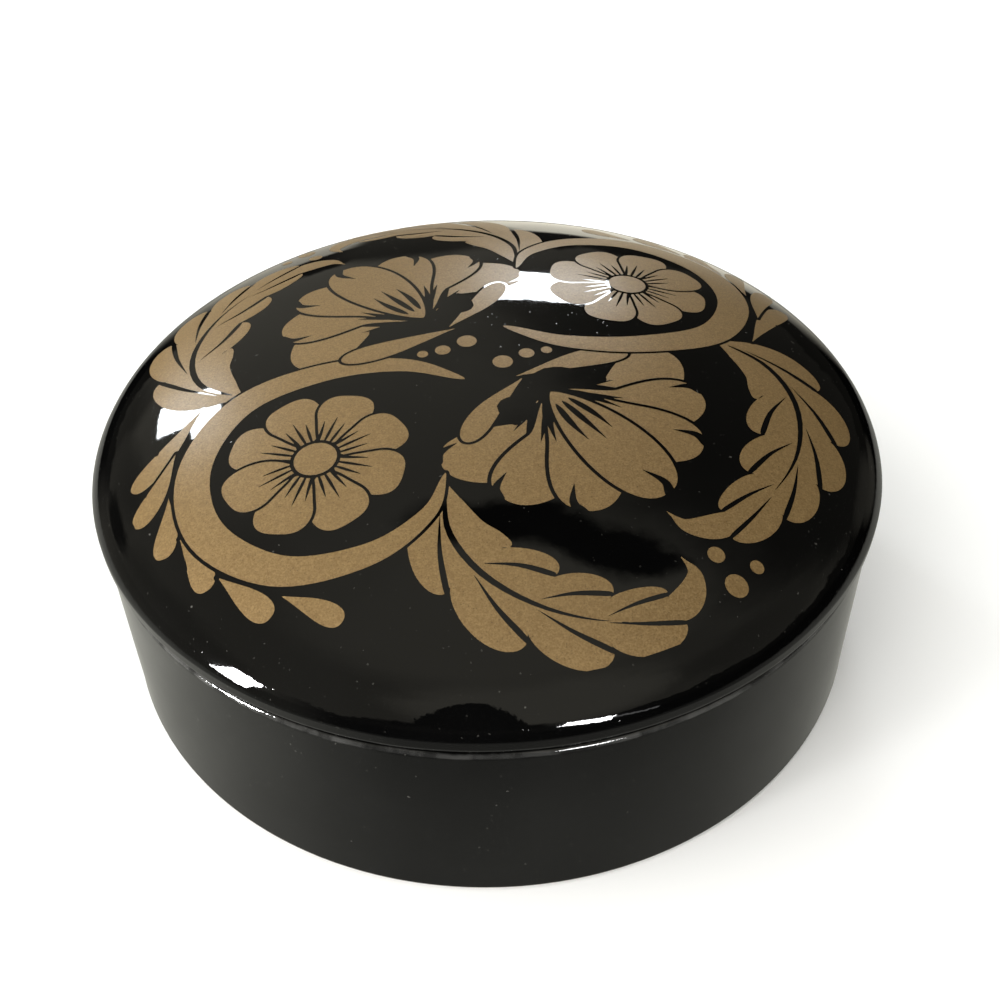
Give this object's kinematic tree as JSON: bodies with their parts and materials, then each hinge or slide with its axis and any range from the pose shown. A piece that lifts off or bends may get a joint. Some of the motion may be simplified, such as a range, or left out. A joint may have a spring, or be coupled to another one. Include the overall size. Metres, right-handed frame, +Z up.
{
  "type": "ceramic trinket box",
  "caption": "Low round glazed ceramic box with straight walls and a domed lid that lifts straight off, located by a ring under its rim.",
  "frame": {"origin": "middle of the underside, on the plane that the foot ring stands on", "axes": "+Z up along the box's axis of revolution, the way the lid lifts; the box is round, so X and Y are any two directions across it"},
  "size_m": [0.108, 0.108, 0.0434],
  "materials": {
    "dish_glaze": "gloss black glaze, satin with fine dust on the wall, foot ring unglazed",
    "lid_glaze": "mirror gloss black glaze with a matt metallic gold printed ornament on the dome"
  },
  "bodies": {
    "dish": {"box_body": "dish_glaze"},
    "lid": {"lid": "lid_glaze"}
  },
  "joints": [
    {"name": "lid_lift", "type": "slide", "parent": "dish", "child": "lid", "axis": [0, 0, 1], "range_m": [0, 0.06]}
  ]
}
